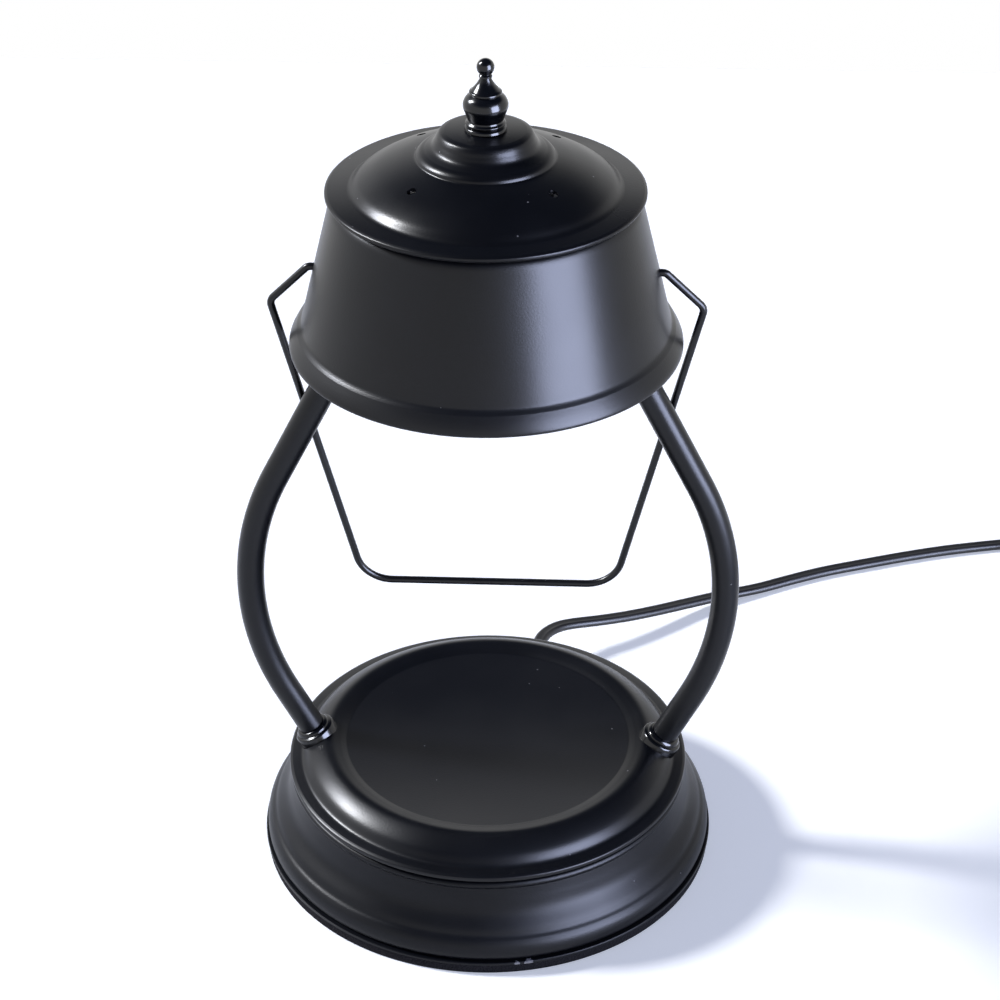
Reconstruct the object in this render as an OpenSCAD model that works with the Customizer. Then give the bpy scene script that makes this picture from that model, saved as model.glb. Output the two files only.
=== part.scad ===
// Candle warmer lamp: a spun steel lantern on two bowed tubes over a weighted round base.
// Millimetres, +Z up, origin at the centre of the base's underside.
// The two tubes stand in the XZ plane, the cord leaves at the back (+Y).

/* [Base] */
// Radius of the bottom plate, the widest part of the base
base_r = 88; // [82:0.5:96]
// Thickness of the foam foot pad
pad_h = 4; // [2.5:0.5:6]
// Thickness of the bottom plate
plate_t = 1.2; // [0.8:0.1:2]
// Height of the skirt, from the bottom plate to the underside of the tray's ledge
skirt_h = 31.1; // [28:0.1:36]
// Width of the tray's shoulder, from the edge of its flat floor to the skirt's neck
shoulder_w = 20.3; // [18:0.1:22]
// Wall of the spun base parts
sheet_t = 1.2; // [0.8:0.1:1.6]
// Radius of the flat floor of the tray, where the jar stands
tray_r = 54.7; // [48:0.1:56]
// Height of the tray floor above the ledge
tray_rise = 6; // [4:0.1:8]
// Height of the rounded crown above the tray floor
crown_rise = 1.9; // [1:0.1:3]
// Radius of the cast weight inside the base
weight_r = 52; // [40:1:54]
// Thickness of the cast weight
weight_h = 11; // [6:0.5:14]
// Diameter of the centre bolt
bolt_d = 6; // [5:0.5:8]

/* [Arms] */
// Outside diameter of the bowed tubes, with their paint
arm_d = 10.2; // [8:0.1:11]
// Wall of the tubes
arm_wall = 1; // [0.7:0.1:1.5]
// Lean of the tubes' straight ends from the vertical, in degrees
arm_lean = 27; // [25:0.5:28]
// Radius of the long bow
bow_r = 106; // [95:1:115]
// Distance of each tube's upright top from the lamp's axis
arm_top_x = 34; // [33:0.1:36]
// Radius of the bend into the upright top
top_bend_r = 30; // [24:1:36]
// Distance from the shade's flange down to the corner of that bend
top_bend_drop = 28.6; // [24:0.1:34]
// Width of the ferrule's flange round each foot
ferrule_w = 2.9; // [2:0.1:4]

/* [Shade] */
// Height of the shade's lower rim above the table
shade_z = 218.6; // [212:0.1:235]
// Radius of the rolled lower rim
shade_r = 69.5; // [67:0.1:72]
// Height of the rolled band at the bottom of the shade
band_h = 7; // [5:0.1:9]
// Radius of the cone where it meets the band
cone_low_r = 64.8; // [63:0.1:66.5]
// Width of the shade's flat top, from its opening to the cone
flange_w = 11.5; // [10.5:0.1:13]
// Height of the whole shade
shade_h = 56.9; // [54:0.1:62]
// Wall of the shade and of its cap
shade_t = 1; // [0.7:0.1:1.3]

/* [Cap] */
// Overhang of the cap's rolled rim beyond the shade's cone
cap_lip = 1.3; // [0.6:0.1:3]
// Width of the flat ring round the dome
ring_w = 8.4; // [7:0.1:10]
// Rise of the dome from the ring to the collar
dome_rise = 11.1; // [10:0.1:14]
// Radius of the bead round the foot of the collar
collar_r = 23.6; // [22:0.1:25]
// Radius of the flat plate on top of the collar
crest_r = 16.3; // [14:0.1:18]
// Rise of the collar above the dome
collar_h = 9.7; // [8.5:0.1:12]
// Diameter of each vent hole
vent_d = 3.2; // [2:0.1:4.5]
// Number of vent holes
vent_count = 4; // [2:1:8]
// Distance of the vent holes from the axis
vent_r = 33.2; // [30:0.1:36]

/* [Finial] */
// Height of the turned finial
finial_h = 25.2; // [22:0.1:30]
// Radius of the finial's bulb
finial_r = 7.75; // [7:0.05:8.5]
// Radius of the ball at the tip
ball_r = 3; // [2:0.1:4]
// Diameter of the threaded rod that carries the cap and the finial
rod_d = 6; // [5:0.5:6]

/* [Bail] */
// Diameter of the bail wire
wire_d = 2.7; // [2:0.1:3.2]
// Height of the bail's pivot holes above the shade's rim
pivot_rise = 27.5; // [24:0.5:32]
// Reach of the bail from its pivots to the grip bar
bail_reach = 141.3; // [135:0.1:150]
// Half width of the bail at its elbows
elbow_x = 76.4; // [76:0.1:82]
// Distance of the elbows from the pivot line
elbow_drop = 14.4; // [13:0.1:16]
// Half width at which the legs would meet the grip bar
grip_x = 47.8; // [46:0.1:50]
// Bend radius at the grip's corners
grip_bend_r = 13.5; // [6:0.5:16]

/* [Bulb and lampholder] */
// Diameter of the reflector bulb
bulb_d = 50; // [45:0.5:50]
// Length of the bulb, from the lampholder to its face
bulb_l = 46; // [44:0.5:52]
// Diameter of the ceramic lampholder
holder_d = 27; // [25:0.5:28]
// Height of the lampholder
holder_h = 15; // [14:0.5:18]
// Distance between the two pins of the bulb
pin_gap = 10; // [9:0.1:10.5]

/* [Bridge] */
// Width of the steel strap inside the shade
strap_w = 16; // [15:0.5:18]
// Thickness of the strap
strap_t = 2; // [1.5:0.1:2.5]
// Rise of the strap's raised middle
strap_rise = 12.6; // [11:0.1:13]

/* [Cord] */
// Width of the twin mains cord
cord_d = 5.8; // [4.8:0.1:6.4]
// Thickness of the twin cord, across its narrow side
cord_t = 3.5; // [2.8:0.1:3.8]
// Height at which the cord leaves the base
gland_z = 16; // [14:0.5:18]
// Direction of the cord outlet, in degrees from +X
gland_turn = 80; // [78:1:82]
// Distance of the strain relief's tip from the lamp's axis
gland_tip = 100; // [99:0.5:102]
// Middle radius of the wound turns
coil_r = 29.4; // [29:0.1:34]

/* [Switch] */
// Length of the in-line switch
switch_l = 60; // [56:1:62]
// Width of the in-line switch
switch_w = 26; // [24:0.5:30]
// Height of the in-line switch
switch_h = 17; // [16:0.5:20]
// Tilt of the rocker to each side, in degrees
rocker_tilt = 7; // [4:0.5:8]

/* [Plug] */
// Width of the plug's body
plug_w = 35; // [33:0.5:36]
// Thickness of the plug's body
plug_t = 13.6; // [13:0.1:15]
// Length of the plug's body
plug_l = 26; // [24:0.5:30]
// Diameter of the plug's pins
plug_pin_d = 4; // [4:0.1:4.8]
// Length of the plug's pins
plug_pin_l = 19; // [18:0.5:20]
// Distance between the plug's pins
plug_pin_gap = 19; // [18:0.1:19]

/* [Hidden] */

$fn = 96;
eps = 0.01;          // overshoot of a cut
fit = 0.05;          // running or seating clearance
slack = 0.3;         // clearance of parts that only rest near each other
steps = 6;           // points along each piece of a smooth outline

paint = [0.05, 0.05, 0.06];
gloss = [0.02, 0.02, 0.02];
steel = [0.62, 0.63, 0.65];
brass = [0.78, 0.62, 0.32];
ceramic = [0.9, 0.89, 0.85];
pvc = [0.06, 0.06, 0.07];

// ---- outlines -------------------------------------------------------------

function unit(v) = v / norm(v);
function turned(v) = [-v[1], v[0]];
function reversed(p) = [for (i = [len(p) - 1:-1:0]) p[i]];

// A smooth curve through points, as Catmull-Rom pieces.
function blend4(a, b, c, d, t) =
    (2 * b + (c - a) * t + (2 * a - 5 * b + 4 * c - d) * pow(t, 2)
    + (3 * b - a - 3 * c + d) * pow(t, 3)) / 2;
function smooth(p, n = steps) = concat(
    [for (i = [0:len(p) - 2])
        for (k = [0:n - 1])
            blend4(p[max(i - 1, 0)], p[i], p[i + 1], p[min(i + 2, len(p) - 1)], k / n)],
    [p[len(p) - 1]]);

// The side of an outline at distance t to its left, for a wall of even thickness.
function heading(p, i) = unit(p[min(i + 1, len(p) - 1)] - p[max(i, 0)]);
function side(p, i) =
    let (a = turned(heading(p, max(i - 1, 0))), b = turned(heading(p, min(i, len(p) - 2))), m = unit(a + b))
    m / max(m * a, 0.5);
function beside(p, t) = [for (i = [0:len(p) - 1]) p[i] + t * side(p, i)];

// A spun sheet: the outline is its outer face, the wall lies to its left.
module spun(p, t) {
    rotate_extrude()
        polygon(concat(p, reversed(beside(p, t))));
}

// ---- bent rods and swept cords ------------------------------------------------

// A polyline in a plane with each inner corner turned into an arc of its own radius.
arc_step = 4.5;      // degrees between two points of a long bend
wire_step = 13;      // and of a wire's short bend
function bend_angle(p, i) =
    let (a = unit(p[i] - p[i - 1]), b = unit(p[i + 1] - p[i]))
    acos(max(-1, min(1, a * b)));
function bend_points(p, i, bend, step) =
    let (dir = unit(p[i] - p[i - 1]), next = unit(p[i + 1] - p[i]),
         hand = sign(dir[0] * next[1] - dir[1] * next[0]), whole = bend_angle(p, i),
         a = p[i] - dir * bend * tan(whole / 2), n = max(3, ceil(whole / step)))
    [for (k = [0:n])
        let (w = whole * k / n)
        a + bend * (dir * sin(w) + turned(dir) * hand * (1 - cos(w)))];
function bent(p, bends, step = arc_step) = concat(
    [p[0]],
    [for (i = [1:len(p) - 2]) each bend_points(p, i, bends[i - 1], step)],
    [p[len(p) - 1]]);
function upright(p) = [for (q = p) [q[0], 0, q[1]]];

// A round tube swept along points in space, as one closed polyhedron; with an inner
// radius it is hollow and open at both ends.
cord_sides = 10;
rod_sides = 20;
wire_sides = 14;
function leg(p, i) = unit(p[i + 1] - p[i]);
function tangent(p, i) =
    i == 0 ? leg(p, 0) : i == len(p) - 1 ? leg(p, i - 1) : unit(leg(p, i - 1) + leg(p, i));
function ring(p, i, r, n, up) =
    let (t = tangent(p, i), u = unit(cross(up, t)), v = cross(t, u))
    [for (k = [0:n - 1]) p[i] + r * (cos(360 * k / n) * u + sin(360 * k / n) * v)];
function skin(first, rings, n) = [
    for (i = [0:rings - 2])
        for (k = [0:n - 1])
            let (a = first + i * n + k, b = first + i * n + (k + 1) % n)
            each [[a, b, b + n], [a, b + n, a + n]]];
module swept(p, r, n = cord_sides, up = [0, 0, 1]) {
    rings = len(p);
    polyhedron(
        points = [for (i = [0:rings - 1]) each ring(p, i, r, n, up)],
        faces = concat(
            [[for (k = [n - 1:-1:0]) k]],
            skin(0, rings, n),
            [[for (k = [0:n - 1]) (rings - 1) * n + k]]));
}
module swept_tube(p, r, inner_r, n = rod_sides, up = [0, 1, 0]) {
    rings = len(p);
    inner = rings * n;
    far = inner - n;
    polyhedron(
        points = concat(
            [for (i = [0:rings - 1]) each ring(p, i, r, n, up)],
            [for (i = [0:rings - 1]) each ring(p, i, inner_r, n, up)]),
        faces = concat(
            skin(0, rings, n),
            [for (f = skin(inner, rings, n)) reversed(f)],
            [for (k = [0:n - 1])
                let (m = (k + 1) % n)
                each [[m, k, inner + k], [m, inner + k, inner + m]]],
            [for (k = [0:n - 1])
                let (m = (k + 1) % n)
                each [[far + k, far + m, inner + far + m], [far + k, inner + far + m, inner + far + k]]]));
}

module hex_nut(across, h, bore_r) {
    difference() {
        cylinder(h = h, r = across / 2 / cos(30), $fn = 6);
        translate([0, 0, -eps])
            cylinder(h = h + 2 * eps, r = bore_r);
    }
}

// ---- base ----------------------------------------------------------------------

plate_z = pad_h;
plate_top = plate_z + plate_t;
ledge_under = plate_top + skirt_h;
ledge_z = ledge_under + sheet_t;
tray_z = ledge_z + tray_rise;
neck_r = tray_r + shoulder_w;
rim_r = neck_r + 2.4;
rim_drop = 2.2;
ledge_r = neck_r - 2.6;
crown_r = tray_r + 6.9;
crown_z = tray_z + crown_rise;

bead_low_r = base_r - 0.9;
crease_r = base_r - 3.9;
crease_z = plate_top + 9;
cove_top_z = ledge_under - 5;

skirt_outline = concat(
    smooth([
        [base_r - 2.6, plate_top], [base_r - 1.2, plate_top + 1.2], [bead_low_r, plate_top + 3.6],
        [base_r - 1.5, plate_top + 6.2], [base_r - 2.9, plate_top + 8.3], [crease_r, crease_z]]),
    smooth([
        [crease_r - 0.3, crease_z + 0.6],
        [crease_r - 1.4, crease_z + 2.6],
        [(crease_r + neck_r) / 2 - 0.5, (crease_z + cove_top_z) / 2 - 1.2],
        [neck_r + 2.3, cove_top_z - 4.6],
        [neck_r + 1.2, cove_top_z - 0.4]]),
    smooth([
        [neck_r + 1.6, cove_top_z + 0.1], [neck_r + 2.1, cove_top_z + 1.3],
        [neck_r + 1.5, cove_top_z + 2.4], [neck_r + 0.4, cove_top_z + 2.9],
        [neck_r, cove_top_z + 3.3]], 4),
    [[neck_r, ledge_under]]);

tray_outline = concat(
    [[rim_r - 0.2, ledge_z - rim_drop]],
    smooth([
        [rim_r, ledge_z - 1.5], [rim_r - 0.2, ledge_z - 0.6], [rim_r - 1.2, ledge_z]], 4),
    smooth([
        [ledge_r + 0.9, ledge_z], [ledge_r - 0.4, ledge_z + 0.7],
        [ledge_r - 3.2, ledge_z + 3.9], [crown_r + 3.4, crown_z - 1.2],
        [crown_r, crown_z], [tray_r + 3.4, crown_z - 0.7], [tray_r + 0.6, tray_z + 0.2]]),
    [[tray_r, tray_z], [0, tray_z]]);

flange_under = shade_z + shade_h - shade_t;
strap_low = flange_under - strap_t;

// Each tube rises from the middle of the tray's slope and leans out, bows, and leans in by the
// same angle to the bend under the shade, so its widest point follows from its two ends.
arm_r = arm_d / 2;
foot_x = (ledge_r + crown_r) / 2;
foot_surface_z = lookup(foot_x, reversed(tray_outline));
foot_point = [foot_x, foot_surface_z];
foot_axis = [sin(arm_lean), cos(arm_lean)];
foot_run = 11;
top_bend_z = flange_under - top_bend_drop;
bow_x = (foot_x + arm_top_x + (top_bend_z - foot_surface_z) * tan(arm_lean)) / 2;
arm_mid_z = foot_surface_z + (bow_x - foot_x) / tan(arm_lean);
arm_top_z = flange_under + 5;
arm_path = [
    foot_point - foot_axis * foot_run,
    [bow_x, arm_mid_z],
    [arm_top_x, top_bend_z],
    [arm_top_x, arm_top_z]];

module base_pad() {
    color(pvc)
        difference() {
            cylinder(h = pad_h, r = base_r - 0.4);
            translate([0, 0, -eps])
                cylinder(h = pad_h + 2 * eps, r = bolt_d * 2);
        }
}

lip_r = base_r - 2.6 - sheet_t - 1.2;

module bottom_plate() {
    lip_h = 3.5;
    color(paint)
        difference() {
            union() {
                translate([0, 0, plate_z])
                    cylinder(h = plate_t, r = base_r);
                translate([0, 0, plate_top])
                    difference() {
                        cylinder(h = lip_h, r = lip_r);
                        translate([0, 0, -eps])
                            cylinder(h = lip_h + 2 * eps, r = lip_r - plate_t);
                    }
            }
            translate([0, 0, plate_z - eps])
                cylinder(h = plate_t + 2 * eps, r = bolt_d / 2 + 0.2);
        }
}

// The outlet hole's axis, from the lamp's axis outwards.
module at_outlet() {
    rotate([0, 0, gland_turn])
        translate([0, 0, gland_z])
            rotate([0, 90, 0])
                children();
}
gland_neck_r = cord_d / 2 + 2;
outlet_cut = 24;

module base_skirt() {
    color(paint)
        difference() {
            spun(skirt_outline, sheet_t);
            at_outlet()
                translate([0, 0, crease_r - outlet_cut / 2])
                    cylinder(h = outlet_cut, r = gland_neck_r + fit);
        }
}

module base_tray() {
    color(paint)
        difference() {
            spun(reversed(tray_outline), -sheet_t);
            for (hand = [-1, 1])
                at_foot(hand)
                    translate([0, 0, -foot_run])
                        cylinder(h = 2 * foot_run, r = arm_r + fit);
        }
}

module ballast_weight() {
    pocket_r = weight_r - 12;
    pocket_depth = weight_h / 4;
    color(steel)
        translate([0, 0, plate_top])
            difference() {
                union() {
                    cylinder(h = weight_h - 1, r = weight_r);
                    translate([0, 0, weight_h - 1])
                        cylinder(h = 1, r1 = weight_r, r2 = weight_r - 1);
                }
                translate([0, 0, weight_h - pocket_depth])
                    difference() {
                        cylinder(h = pocket_depth + eps, r = pocket_r);
                        translate([0, 0, -eps])
                            cylinder(h = pocket_depth + 3 * eps, r = bolt_d * 2);
                    }
                translate([0, 0, -eps])
                    cylinder(h = weight_h + 2 * eps, r = bolt_d / 2 + 0.2);
            }
}

bolt_head_h = pad_h - 0.6;
tray_nut_h = 5;
tray_under = tray_z - sheet_t;

module centre_bolt() {
    head_across = bolt_d * 1.6;
    color(steel)
        translate([0, 0, plate_z]) {
            translate([0, 0, -bolt_head_h])
                cylinder(h = bolt_head_h, r = head_across / 2 / cos(30), $fn = 6);
            cylinder(h = tray_under - plate_z - 1, r = bolt_d / 2);
        }
}

module tray_nut() {
    color(steel)
        translate([0, 0, tray_under - tray_nut_h])
            hex_nut(bolt_d * 1.7, tray_nut_h, bolt_d / 2 + fit);
}

// ---- cord outlet and wiring in the base ----------------------------------------

module cord_gland() {
    flange_far = base_r + 1;
    flange_t = 9;
    color(pvc)
        difference() {
            union() {
                at_outlet()
                    translate([0, 0, crease_r - 8])
                        cylinder(h = 12, r = gland_neck_r);
                at_outlet()
                    translate([0, 0, flange_far])
                        cylinder(h = gland_tip - flange_far, r1 = cord_d / 2 + 2.2, r2 = cord_d / 2 + 0.8);
                difference() {
                    at_outlet()
                        translate([0, 0, flange_far - flange_t])
                            cylinder(h = flange_t, r = gland_neck_r + 1.3);
                    rotate_extrude()
                        polygon(concat(
                            [[0, plate_top]],
                            beside(skirt_outline, -fit),
                            [[0, ledge_under]]));
                }
            }
            at_outlet()
                translate([0, 0, crease_r - 9])
                    cylinder(h = 14, r = cord_d / 2 + fit);
        }
}

block_w = 22;
block_l = 15;
block_h = 12;
block_turn = 122;
block_r = (weight_r + lip_r) / 2;

module at_block() {
    rotate([0, 0, block_turn])
        translate([block_r, 0, plate_top])
            children();
}

module terminal_block() {
    pole_gap = 9;
    screw_r = 1.9;
    color(ceramic)
        difference() {
            at_block()
                translate([-block_l / 2, -block_w / 2, 0])
                    cube([block_l, block_w, block_h]);
            for (hand = [-1, 1])
                at_block()
                    translate([0, hand * pole_gap / 2, block_h / 2])
                        cylinder(h = block_h, r = screw_r);
        }
}

// Two insulated leads from the terminal block up to the foot of the left tube.
lead_r = 1;
lead_sides = 8;
foot_end = foot_point + foot_axis * (-foot_run);

module base_leads() {
    out = [cos(block_turn), sin(block_turn), 0];
    along = [-out[1], out[0], 0];
    mid_z = plate_top + block_h / 2;
    color(pvc)
        for (hand = [-1, 1]) {
            start = out * (block_r + hand * 2.5) + along * block_w / 2 + [0, 0, mid_z];
            swept([
                start + along * fit,
                start + along * 4,
                start + along * 10 + [0, 0, 1],
                [-foot_end[0] + 3 - hand * 1.8, 22, mid_z + 4],
                [-foot_end[0] + 4 - hand * 1.7, 12 - hand * 0.4, mid_z + 8],
                [-foot_end[0] + 3.4 - hand * 1.3, 5 - hand, foot_end[1] - 8],
                [-foot_end[0] + 1.6 - hand * 0.5, 1 - hand * 1.3, foot_end[1] - 3.2],
                [-foot_end[0] - 0.5, -hand * 1.3, foot_end[1] + 1]
            ], lead_r, lead_sides, [0.9, 0, 0.45]);
        }
}

// ---- arms -------------------------------------------------------------------------

// A foot's own frame: Z runs up the tube's axis from the tray's surface.
module at_foot(hand) {
    mirror([hand < 0 ? 1 : 0, 0, 0])
        translate([foot_point[0], 0, foot_point[1]])
            rotate([0, arm_lean, 0])
                children();
}

module tube_arm(hand) {
    color(paint)
        mirror([hand < 0 ? 1 : 0, 0, 0])
            swept_tube(upright(bent(arm_path, [bow_r, top_bend_r])), arm_r, arm_r - arm_wall);
}

module arm_left() {
    tube_arm(-1);
}

module arm_right() {
    tube_arm(1);
}

module foot_ferrules() {
    lip_h = 4.4;
    flange_h = 2.6;
    ferrule_r = arm_r + ferrule_w;
    color(gloss)
        for (hand = [-1, 1])
            difference() {
                at_foot(hand)
                    rotate_extrude()
                        polygon(concat(
                            [[arm_r + fit, -6], [ferrule_r, -6], [ferrule_r, flange_h - 0.8]],
                            smooth([[ferrule_r - 0.3, flange_h - 0.2], [ferrule_r - 1, flange_h]], 3),
                            smooth([
                                [arm_r + 1.7, flange_h + 0.1], [arm_r + 1.5, flange_h + 0.9],
                                [arm_r + 0.9, lip_h - 0.2], [arm_r + 0.5, lip_h]], 3),
                            [[arm_r + fit, lip_h]]));
                rotate_extrude()
                    polygon(concat(
                        [[0, ledge_z - 12], [rim_r, ledge_z - 12]],
                        beside(tray_outline, -fit)));
            }
}

foot_nut_h = 5;
foot_nut_across = arm_d + 4.5;
foot_nut_r = foot_nut_across / 2 / cos(30);

// How far down the tube's axis the sloping underside of the tray reaches within the nut.
function foot_offset(q, turn) =
    [q[0] * cos(turn) - foot_point[0], q[0] * sin(turn), q[1] - foot_point[1]];
foot_dir = [foot_axis[0], 0, foot_axis[1]];
nut_limit = min([
    for (q = beside(tray_outline, sheet_t))
        for (turn = [-8:1:8])
            let (d = foot_offset(q, turn))
            if (norm(cross(d, foot_dir)) < foot_nut_r + slack) d * foot_dir]);

module foot_nuts() {
    drop = slack - nut_limit;
    color(steel)
        for (hand = [-1, 1])
            at_foot(hand)
                translate([0, 0, -drop - foot_nut_h])
                    hex_nut(foot_nut_across, foot_nut_h, arm_r + fit);
}

top_nut_across = arm_d + 4;
top_nut_r = top_nut_across / 2 / cos(30);

module arm_top_nuts() {
    nut_h = 4;
    color(steel)
        for (hand = [-1, 1])
            translate([hand * arm_top_x, 0, 0]) {
                translate([0, 0, strap_low - nut_h])
                    hex_nut(top_nut_across, nut_h, arm_r + fit);
                translate([0, 0, flange_under])
                    hex_nut(top_nut_across, nut_h, arm_r + fit);
            }
}

// ---- shade, cap and finial ------------------------------------------------------------

shade_top = shade_z + shade_h;
flange_r = arm_top_x + top_nut_r + fit;
cone_top_r = flange_r + flange_w;
band_top = shade_z + band_h;
shoulder_r = 4;

shade_outline = concat(
    smooth([
        [shade_r - 0.8, shade_z], [shade_r - 0.1, shade_z + 0.7], [shade_r - 0.3, shade_z + 2.2],
        [shade_r - 1.4, shade_z + 4.4], [cone_low_r + 1.7, band_top]]),
    smooth([
        [cone_low_r + 0.9, band_top + 0.7], [cone_low_r + 0.2, band_top + 1.7],
        [cone_low_r - 0.3, band_top + 3.4]], 4),
    smooth([
        [cone_top_r + 0.6, shade_top - shoulder_r - 1.6],
        [cone_top_r - 0.2, shade_top - shoulder_r + 1],
        [cone_top_r - 1.4, shade_top - 1.2],
        [cone_top_r - 3.4, shade_top - 0.2],
        [cone_top_r - 5, shade_top]], 4),
    [[flange_r, shade_top]]);

pivot_z = shade_z + pivot_rise;
wire_r = wire_d / 2;

module shade() {
    color(paint)
        difference() {
            spun(shade_outline, shade_t);
            translate([-shade_r, 0, pivot_z])
                rotate([0, 90, 0])
                    cylinder(h = 2 * shade_r, r = wire_r + 0.08);
        }
}

cap_r = cone_top_r + cap_lip;
dome_r = cap_r - ring_w;
dome_run = dome_r - collar_r;
ring_z = shade_top + 1.2 + shade_t;
dome_z = ring_z + dome_rise;
crest_z = dome_z + collar_h;
rod_r = rod_d / 2;

cap_outline = concat(
    [[cap_r - 0.5, shade_top + 0.1]],
    smooth([
        [cap_r, shade_top + 0.8], [cap_r - 0.1, ring_z - 0.6], [cap_r - 1, ring_z]], 4),
    smooth([
        [dome_r + 0.7, ring_z], [dome_r - 0.6, ring_z + 0.7],
        [dome_r - dome_run * 0.15, ring_z + dome_rise * 0.3],
        [dome_r - dome_run * 0.41, ring_z + dome_rise * 0.61],
        [dome_r - dome_run * 0.71, ring_z + dome_rise * 0.85],
        [collar_r + 0.6, dome_z]]),
    smooth([
        [collar_r + 0.1, dome_z + 0.4], [collar_r, dome_z + 1.3], [collar_r - 0.8, dome_z + 2.1],
        [collar_r - 2.2, dome_z + 2.4]], 4),
    smooth([
        [collar_r - 2.8, dome_z + 2.7], [crest_r + 2.2, dome_z + collar_h * 0.42],
        [crest_r + 0.7, dome_z + collar_h * 0.66],
        [crest_r + 0.1, crest_z - 0.9], [crest_r - 0.7, crest_z]], 4),
    [[rod_r + fit, crest_z]]);

module shade_cap() {
    color(paint)
        difference() {
            spun(cap_outline, shade_t);
            for (k = [0:vent_count - 1])
                rotate([0, 0, 360 * (k + 0.5) / vent_count])
                    translate([vent_r, 0, ring_z])
                        cylinder(h = 2 * dome_rise, r = vent_d / 2);
        }
}

// The strap's raised middle, the lampholder's seat and the rod's anchor.
hat_low = strap_low + strap_rise;
hat_top = hat_low + strap_t;
hat_x = holder_d / 2 + 2.5;
hat_foot_x = arm_top_x - top_nut_r - 1.6;
strap_end_x = flange_r + 5;
screw_x = holder_d / 2 - 4.5;

module strap_bridge() {
    outline = [
        [-strap_end_x, strap_low], [-hat_foot_x, strap_low], [-hat_x, hat_low],
        [hat_x, hat_low], [hat_foot_x, strap_low], [strap_end_x, strap_low],
        [strap_end_x, flange_under], [hat_foot_x - 1, flange_under], [hat_x - 1, hat_top],
        [1 - hat_x, hat_top], [1 - hat_foot_x, flange_under], [-strap_end_x, flange_under]];
    color(steel)
        difference() {
            translate([0, strap_w / 2, 0])
                rotate([90, 0, 0])
                    linear_extrude(strap_w)
                        polygon(outline);
            for (hand = [-1, 1]) {
                translate([hand * arm_top_x, 0, strap_low - eps])
                    cylinder(h = strap_t + 2 * eps, r = arm_r + fit);
                translate([hand * screw_x, 0, hat_low - eps])
                    cylinder(h = strap_t + 2 * eps, r = screw_r + fit);
            }
            translate([0, 0, hat_low - eps])
                cylinder(h = strap_t + 2 * eps, r = rod_r + fit);
        }
}

module centre_rod() {
    color(steel)
        translate([0, 0, hat_low])
            cylinder(h = crest_z + finial_bore - 0.5 - hat_low, r = rod_r);
}

module rod_nuts() {
    across = rod_d * 1.65;
    nut_h = 3.6;
    color(steel) {
        translate([0, 0, hat_top])
            hex_nut(across, nut_h, rod_r + fit);
        translate([0, 0, crest_z - shade_t - nut_h])
            hex_nut(across, nut_h, rod_r + fit);
    }
}

finial_bore = finial_h * 0.48;
ball_z = crest_z + finial_h - ball_r;
neck_z = ball_z - ball_r - 0.6;
finial_outline = concat(
    [[rod_r + fit, crest_z], [finial_r - 0.8, crest_z]],
    smooth([
        [finial_r - 0.5, crest_z + 0.5], [finial_r - 0.8, crest_z + 1.3],
        [finial_r - 1.5, crest_z + 1.8]], 4),
    smooth([
        [finial_r - 1.1, crest_z + 2.1], [finial_r - 0.9, crest_z + 2.7],
        [finial_r - 1.5, crest_z + 3.4]], 4),
    smooth([
        [finial_r - 1.6, crest_z + 3.9], [finial_r - 0.9, crest_z + 6],
        [finial_r - 0.1, crest_z + 8.2], [finial_r - 0.2, crest_z + 10],
        [finial_r - 1.1, crest_z + 11.7], [finial_r - 2.5, crest_z + 12.9]], 5),
    smooth([
        [finial_r - 2.2, crest_z + 13.2], [finial_r - 2.3, crest_z + 13.8],
        [finial_r - 3.1, crest_z + 14.5], [ball_r * 0.9 + 0.2, neck_z - 2],
        [ball_r * 0.6, neck_z]], 5),
    smooth([
        [ball_r * 0.75, neck_z + 0.2], [ball_r * 0.75, neck_z + 0.7]], 3),
    [for (a = [-52:13:90]) [ball_r * cos(a), ball_z + ball_r * sin(a)]],
    [[0, crest_z + finial_bore], [rod_r + fit, crest_z + finial_bore]]);

module finial() {
    color(gloss)
        rotate_extrude()
            polygon(finial_outline);
}

// ---- lampholder and bulb --------------------------------------------------------------------

screw_r = 1.5;
holder_low = hat_low - holder_h;
holder_r = holder_d / 2;
bulb_r = bulb_d / 2;
bulb_face_z = holder_low - bulb_l;
socket_r = 2.7;
socket_depth = 8;
screw_grip = 9;         // depth of the lampholder's screws in the ceramic

module lampholder() {
    chamfer = 1.2;
    color(ceramic)
        difference() {
            translate([0, 0, holder_low])
                rotate_extrude()
                    polygon([
                        [0, 0], [holder_r - chamfer, 0], [holder_r, chamfer],
                        [holder_r, holder_h - chamfer], [holder_r - chamfer, holder_h], [0, holder_h]]);
            for (hand = [-1, 1]) {
                translate([0, hand * pin_gap / 2, holder_low - eps])
                    cylinder(h = socket_depth, r = socket_r);
                translate([hand * screw_x, 0, hat_low - screw_grip - fit])
                    cylinder(h = screw_grip + 1, r = screw_r + fit);
            }
        }
}

module holder_screws() {
    head_h = 1.8;
    color(steel)
        for (hand = [-1, 1])
            translate([hand * screw_x, 0, 0]) {
                translate([0, 0, hat_top])
                    cylinder(h = head_h, r = screw_r * 1.7);
                translate([0, 0, hat_low - screw_grip])
                    cylinder(h = strap_t + screw_grip, r = screw_r);
            }
}

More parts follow.
